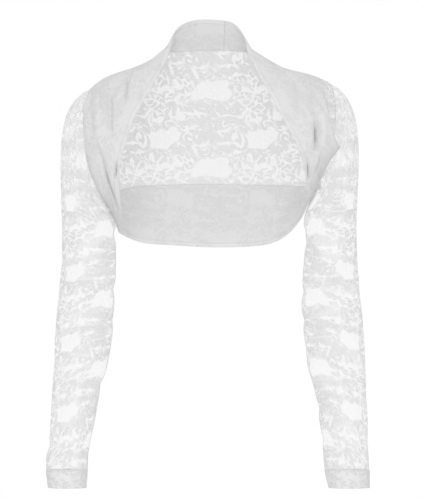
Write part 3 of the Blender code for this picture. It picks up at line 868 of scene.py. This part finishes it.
def add_node(tree, kind, values=(), output=0, **settings):
    """Output of a new node, whose inputs take numbers or the outputs of other nodes."""
    node = tree.nodes.new("ShaderNode" + kind)
    for key, setting in settings.items():
        setattr(node, key, setting)
    for place, value in values.items() if isinstance(values, dict) else enumerate(values):
        if isinstance(value, bpy.types.NodeSocket):
            tree.links.new(value, node.inputs[place])
        else:
            node.inputs[place].default_value = value
    return node.outputs[output]


def math_node(tree, operation, *values):
    """Output of a Math node."""
    return add_node(tree, "Math", values, operation=operation)


def step_node(tree, value, low, high, from_value=0.0, to_value=1.0):
    """A soft step from one result to the other as a value goes from low to high."""
    values = (value, low, high, from_value, to_value)
    return add_node(tree, "MapRange", values, interpolation_type="SMOOTHSTEP")


def blend_node(tree, share, first, second):
    """A number between two others."""
    return add_node(tree, "Mix", {0: share, 2: first, 3: second}, data_type="FLOAT")


def attribute_node(tree, name, output="Fac"):
    """Output of an attribute of the mesh."""
    return add_node(tree, "Attribute", output=output, attribute_name=name)


def net_node(tree):
    """A honeycomb over the flat cloth: low on its threads and high in its holes."""
    place = attribute_node(tree, "flat", "Vector")
    total = 0.0
    for turn in NET_TURNS:
        wave = (*around(0, 0, 4 * math.pi / (math.sqrt(3) * NET_CELL), turn), 0)
        phase = add_node(tree, "VectorMath", (place, wave), "Value", operation="DOT_PRODUCT")
        total = math_node(tree, "ADD", total, math_node(tree, "COSINE", phase))
    return total


def set_tone(tree, shader, tone):
    """A neutral white of a given strength as the base colour."""
    tree.links.new(add_node(tree, "CombineColor", (tone, tone, tone)), shader.inputs["Base Color"])


def plain_material(name, roughness):
    """A Principled material of a given roughness, with its tree and shader."""
    material = bpy.data.materials.new(name)
    material.use_nodes = True
    shader = material.node_tree.nodes["Principled BSDF"]
    shader.inputs["Roughness"].default_value = roughness
    return material, material.node_tree, shader


def cloth_material(name):
    """A matt Principled material with a soft sheen, with its tree and shader."""
    material, tree, shader = plain_material(name, roughness=0.78)
    shader.inputs["Specular IOR Level"].default_value = 0.25
    shader.inputs["Sheen Weight"].default_value = 0.12
    shader.inputs["Sheen Roughness"].default_value = 0.5
    return material, tree, shader


def add_bump(tree, shader, height, distance, strength):
    """Relief from a height in the shader."""
    values = {"Strength": strength, "Distance": distance * MM, "Height": height}
    tree.links.new(add_node(tree, "Bump", values), shader.inputs["Normal"])


def lace_parts(tree):
    """Where the flowers, the openings and the corded outlines are."""
    motif = attribute_node(tree, "motif")
    opening = attribute_node(tree, "opening")
    in_motif = step_node(tree, motif, EDGE_BLUR, -EDGE_BLUR)
    in_opening = step_node(tree, opening, EDGE_BLUR, -EDGE_BLUR)
    motif_edge = step_node(tree, math_node(tree, "ABSOLUTE", motif), CORD_REACH, CORD_CORE)
    from_opening = math_node(tree, "ABSOLUTE", opening)
    opening_edge = step_node(tree, from_opening, CORD_REACH, CORD_CORE, 0.0, OPENING_CORD)
    return in_motif, in_opening, math_node(tree, "MAXIMUM", motif_edge, opening_edge)


def sheer_material(name, tone, net, ground, flowers, cord):
    """One layer of lace, with its tone and how filled its net, ground, flowers and outlines are."""
    material, tree, shader = cloth_material(name)
    in_motif, in_opening, edge = lace_parts(tree)
    level = blend_node(tree, in_opening, ground, net)
    level = blend_node(tree, in_motif, level, flowers)
    level = blend_node(tree, edge, level, cord)
    hole = math_node(tree, "SUBTRACT", net_node(tree), level)
    tree.links.new(step_node(tree, hole, THREAD_BLUR, -THREAD_BLUR), shader.inputs["Alpha"])
    place = attribute_node(tree, "flat", "Vector")
    mottle = add_node(tree, "TexNoise", {"Vector": place, "Scale": 0.35}, "Fac")
    set_tone(tree, shader, step_node(tree, mottle, *NOISE_RANGE, tone - MOTTLE, tone + MOTTLE))
    height = math_node(tree, "ADD", math_node(tree, "MULTIPLY", in_motif, SHEER_RELIEF), edge)
    add_bump(tree, shader, height, distance=0.45, strength=0.4)
    return material


def doubled_material(name, tone_level, opening_share=1.02):
    """Two layers of the same lace, nearly opaque, in which the pattern only shows faintly."""
    material, tree, shader = cloth_material(name)
    in_motif, in_opening, edge = lace_parts(tree)
    tone = blend_node(tree, in_opening, tone_level, tone_level * opening_share)
    tone = blend_node(tree, in_motif, tone, tone_level * FLOWER_TONE)
    # Painted shade: the corded outlines are painted darker, for the shade between their threads
    tone = blend_node(tree, edge, tone, tone_level * CORD_PAINTED_SHADE)
    from_edge = attribute_node(tree, "from_edge")
    # Painted highlight: a paler rim along the folded free edge
    rim_highlight = step_node(tree, from_edge, RIM_OUTER, RIM_INNER)
    from_stitch = math_node(tree, "ABSOLUTE", math_node(tree, "SUBTRACT", from_edge, STITCH_LINE))
    stitch = step_node(tree, from_stitch, STITCH_REACH, STITCH_CORE)
    tone = math_node(tree, "MULTIPLY", tone, blend_node(tree, rim_highlight, 1.0, RIM_HIGHLIGHT_TONE))
    tone = math_node(tree, "MULTIPLY", tone, blend_node(tree, stitch, 1.0, STITCH_TONE))
    # The tone is multiplied by the painted shade of the collar, which is 1 elsewhere
    tone = math_node(tree, "MULTIPLY", tone, attribute_node(tree, "shade"))
    set_tone(tree, shader, tone)
    height = math_node(tree, "ADD", math_node(tree, "MULTIPLY", in_motif, DOUBLED_RELIEF), edge)
    for part, depth in ((net_node(tree), NET_RELIEF), (stitch, STITCH_RELIEF)):
        height = math_node(tree, "ADD", height, math_node(tree, "MULTIPLY", part, depth))
    add_bump(tree, shader, height, distance=0.4, strength=0.6)
    return material


def thread_material():
    """Sewing thread with fine twisted strands."""
    material, tree, shader = cloth_material("thread")
    place = add_node(tree, "TexCoord", output="Object")
    wave = add_node(tree, "TexWave", {"Vector": place, "Scale": 260, "Distortion": 1.5}, "Fac")
    set_tone(tree, shader, step_node(tree, wave, 0.2, 0.8, *THREAD_TONES))
    add_bump(tree, shader, wave, distance=0.2, strength=0.5)
    return material


# Pieces

def make_back(material):
    """The sheer back, seen from inside through the open front."""
    across = cell_edges(0, 1, BACK_WIDTH, BACK_CELL)
    down = cell_edges(0, 1, BACK_HEIGHT, BACK_CELL)
    points = back_grid(across, down)
    x, z = points[:, :, 0], points[:, :, 2]
    lengths = lengths_along(points, 0)
    spine = np.array([np.interp(0.0, x[:, column], lengths[:, column]) for column in range(len(down))])
    flat_across = lengths - spine[None, :]
    fields = lace_fields(BACK_LAY, flat_across, -z)
    for spot in BACK_SPOTS:
        inside = np.hypot(x - spot.x, z - spot.z) < spot.radius
        other = lace_fields(BACK_LAY, flat_across + spot.shift_across, spot.shift_down - z)
        for key in ("motif", "opening"):
            fields[key] = np.where(inside, other[key], fields[key])
    return add_piece("back_lace", points, grid_faces(len(across), len(down)), material, fields)


def sleeve_measure(points, cap_count):
    """Flat places of a sleeve's points: round it from the outer line, and down it."""
    lengths = lengths_along(points, 0)
    down = lengths_along(points, 1)
    level = -points[:, :, 2]
    last = slice(cap_count - 1, cap_count)
    in_cap = np.arange(points.shape[1]) < cap_count
    flat_down = np.where(in_cap, level[:, last] - (down[:, last] - down), level)
    return lengths - lengths[len(lengths) // 2], flat_down


def make_sleeve(side, name, material):
    """A sheer sleeve, cut along its underarm seam, with the head that reaches over the front."""
    cap_shares = cell_edges(0, 1, CAP_LENGTH, SLEEVE_CELL)[:-1]
    places = cell_edges(0, CUFF_ROW, ARM_LENGTH, SLEEVE_CELL)
    bow = HEAD_BOWS[side]
    rows = np.linspace(bow.first, bow.last, HEAD_ROWS + 2)[1:-1]
    edge = front_shares(rows)[:, None]
    points = sleeve_grid(side, SLEEVE_ANGLES, cap_shares, places)
    head = band_grid(rows, edge + (1 - edge) * np.linspace(0, 1, bow.columns))
    if side > 0:
        points, head = points[::-1], head[::-1]
    fields = lace_fields(SLEEVE_LAYS[side], *sleeve_measure(points, len(cap_shares)), mirrored=True)
    head_fields = lace_fields(SLEEVE_LAYS[side], head[:, :, 0], -head[:, :, 2])
    fields = {key: joined(fields[key], head_fields[key]) for key in fields}
    head_faces = grid_faces(*head.shape[:2]) + points.shape[0] * points.shape[1]
    faces = np.concatenate([grid_faces(*points.shape[:2]), head_faces])
    return add_piece("sleeve_lace_" + name, joined(points, head), faces, material, fields)


def make_cuff(side, name, material):
    """The doubled hem of a sleeve, folded at the wrist."""
    places = cell_edges(WRIST_ROW, CUFF_ROW, CUFF_LENGTH, CUFF_CELL)
    points = arm_section(side, places, SLEEVE_ANGLES[:-1])
    if side < 0:
        points = points[::-1]
    fields = lace_fields(CUFF_LAYS[side], lengths_along(points, 0), -points[:, :, 2])
    fields["from_edge"] = lengths_along(points, 1) + PAST_RIM
    fields["shade"] = np.ones(points.shape[:2])
    shell = doubled_shell(points, grid_normals(points, closed=True))
    faces = grid_faces(*shell.shape[:2], closed_rows=True, closed_columns=True)
    return add_piece("cuff_doubled_" + name, shell, faces, material, shell_fields(fields))


def make_band(name, start, end, material):
    """A stretch of the doubled band, from one ring row to another."""
    free, seam, _ = band_lines(np.linspace(start, end, BAND_MEASURES))
    length = lengths_along((free + seam) / 2, 0)[-1]
    width = np.linalg.norm(free - seam, axis=1).max()
    rows = cell_edges(start, end, length, BAND_CELL)
    shares = cell_edges(0, 1, width, BAND_CELL)
    points = band_grid(rows, front_shares(rows)[:, None] * shares)
    across = lengths_along(points, 1)
    fields = lace_fields(BAND_LAY, lengths_along(points, 0) + BAND_SHIFT * start, across)
    fields["from_edge"] = across
    # Painted shade: the collar's rows are painted darker than the fronts', fading over a few rows
    from_collar = np.minimum(rows, RING_END - rows)
    shade = 1 - COLLAR_PAINTED_SHADE * np.exp(-(from_collar / COLLAR_REACH) ** 2)
    fields["shade"] = shade[:, None] + 0 * across
    shell = doubled_shell(points, grid_normals(points))
    return add_piece(name, shell, shell_faces(*shell.shape[:2]), material, shell_fields(fields))


def make_ridge(name, path, ridge, closed, material):
    """A sewn ridge along a path, swelling at each stitch."""
    if closed:
        along = unit(np.roll(path, -1, axis=0) - np.roll(path, 1, axis=0))
    else:
        along = unit(np.gradient(path, axis=0))
    side = np.cross(along, np.array([0.0, 0.0, 1.0]))
    upright = np.linalg.norm(side, axis=1) < UPRIGHT
    side[upright] = np.cross(along[upright], np.array([0.0, 1.0, 0.0]))
    side = unit(side)
    lift = np.cross(side, along)
    stitches = lengths_along(path, 0) / ridge.stitch
    swell = ridge.radius * (1 + ridge.swell * np.cos(2 * math.pi * stitches))[:, None, None]
    turn = np.linspace(0, 2 * math.pi, RIDGE_SIDES, endpoint=False)[None, :, None]
    points = path[:, None] + swell * (np.cos(turn) * side[:, None] + np.sin(turn) * lift[:, None])
    faces = grid_faces(len(path), RIDGE_SIDES, closed_rows=closed, closed_columns=True)
    return add_piece(name, points, faces, material)


def make_ridges(material):
    """The sewn ridges between the pieces."""
    collar = seam_edge(np.linspace(SHOULDER_ROWS[1], RING_END + SHOULDER_TOP, COLLAR_RIDGE.steps))
    hem = seam_edge(np.linspace(SIDE_ROWS[-1], SIDE_ROWS[1], HEM_RIDGE.steps))
    cap_shares = np.linspace(0, 1, CAP_STEPS)[:-1]
    places = np.linspace(0, WRIST_ROW, UNDERARM_RIDGE.steps)
    angles = np.linspace(0, 2 * math.pi, CUFF_RIDGE.steps, endpoint=False)
    shares = np.linspace(0, 1, SIDE_RIDGE.steps)
    ridges = [("collar_seam", collar, COLLAR_RIDGE, False), ("hem_seam", hem, HEM_RIDGE, False)]
    for name, side in SIDES.items():
        underarm = sleeve_grid(side, np.array([math.pi]), cap_shares, places)[0]
        ring = arm_section(side, np.array([float(CUFF_ROW)]), angles)[:, 0]
        ridges += [
            ("armhole_seam_" + name, armhole_seam(side), ARMHOLE_RIDGE, True),
            ("underarm_seam_" + name, underarm, UNDERARM_RIDGE, False),
            ("cuff_stitch_" + name, ring, CUFF_RIDGE, True),
        ]
    for name, side in SIDES.items():
        line = band_grid(SIDE_ROWS[side] + ROWS_BESIDE, shares)[1]
        ridges.append(("side_seam_" + name, line, SIDE_RIDGE, False))
    return [make_ridge(*ridge, material) for ridge in ridges]


sheer_back = sheer_material("sheer_lace_back", 0.82, net=-0.70, ground=0.18, flowers=0.70, cord=1.0)
sheer_sleeve = sheer_material("sheer_lace_sleeve", 0.87, net=-1.26, ground=-0.70, flowers=-0.22, cord=0.0)
doubled_cloth = doubled_material("doubled_lace", 0.845)
# Painted light: the hem's band is the same doubled lace painted lighter, to offset the shade on its inside
hem_cloth_painted_lighter = doubled_material("doubled_lace_hem_painted_lighter", 0.875)
cuff_cloth = doubled_material("doubled_cuff", 0.865, opening_share=1.08)

back = make_back(sheer_back)
sleeves = {}
cuffs = {}
for side_name, side in SIDES.items():
    sleeves[side_name] = make_sleeve(side, side_name, sheer_sleeve)
    cuffs[side_name] = make_cuff(side, side_name, cuff_cloth)
bands = {
    "band_left": make_band("band_doubled_left", 0, SIDE_ROWS[-1], doubled_cloth),
    "band_hem": make_band("band_doubled_hem", SIDE_ROWS[-1], SIDE_ROWS[1], hem_cloth_painted_lighter),
    "band_right": make_band("band_doubled_right", SIDE_ROWS[1], RING_END, doubled_cloth),
}
seam_pieces = make_ridges(thread_material())

for piece in [back, *sleeves.values(), *cuffs.values(), *bands.values(), *seam_pieces]:
    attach(piece, "root")
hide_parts("back_panel")
for side_name in SIDES:
    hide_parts("sleeve_" + side_name, "forearm_" + side_name)
    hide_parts("cuff_" + side_name)
for node, piece in bands.items():
    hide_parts(node)


# Floor, lights and camera

def add_floor():
    """A plain pale floor at the height of a wearer's feet."""
    material, tree, shader = plain_material("floor", roughness=0.9)
    noise = add_node(tree, "TexNoise", {"Scale": 3}, "Fac")
    set_tone(tree, shader, step_node(tree, noise, *NOISE_RANGE, *FLOOR_TONES))
    reach, z = FLOOR_REACH, FLOOR_HEIGHT
    points = np.array([(-reach, -reach, z), (reach, -reach, z), (reach, reach, z), (-reach, reach, z)])
    add_piece("floor", points, np.array([[0, 1, 2, 3]]), material)


def add_lamp(name, place, power):
    """A soft square light that faces the garment."""
    light = bpy.data.lights.new(name, "AREA")
    light.size = LIGHT_SIZE
    light.energy = power
    lamp = bpy.data.objects.new(name, light)
    direction = unit(np.array(LIGHT_TARGET) - np.array(place))
    lamp.location = place
    lamp.rotation_euler = (math.acos(-direction[2]), 0, math.atan2(-direction[0], direction[1]))
    bpy.context.scene.collection.objects.link(lamp)


def set_world():
    """A white surround that is brighter to the camera than as a light."""
    world = bpy.data.worlds.new("studio")
    bpy.context.scene.world = world
    world.use_nodes = True
    tree = world.node_tree
    background = tree.nodes["Background"]
    background.inputs["Color"].default_value = (1, 1, 1, 1)
    seen = add_node(tree, "LightPath", output="Is Camera Ray")
    strength = blend_node(tree, seen, WORLD_AMBIENT, WORLD_SEEN)
    tree.links.new(strength, background.inputs["Strength"])


def add_camera():
    """A camera far in front. The frame's height takes up the sensor's width."""
    data = bpy.data.cameras.new("camera")
    data.lens = data.sensor_width * CAMERA_DISTANCE / FRAME_HEIGHT
    data.clip_end = CAMERA_CLIP
    camera = bpy.data.objects.new("camera", data)
    camera.location = (FRAME_MIDDLE_X, -CAMERA_DISTANCE, FRAME_MIDDLE_Z)
    camera.rotation_euler = (math.pi / 2, 0, 0)
    bpy.context.scene.collection.objects.link(camera)
    bpy.context.scene.camera = camera


add_floor()
set_world()
for lamp in LAMPS:
    add_lamp(*lamp)
add_camera()
bpy.context.scene.view_settings.view_transform = "Standard"
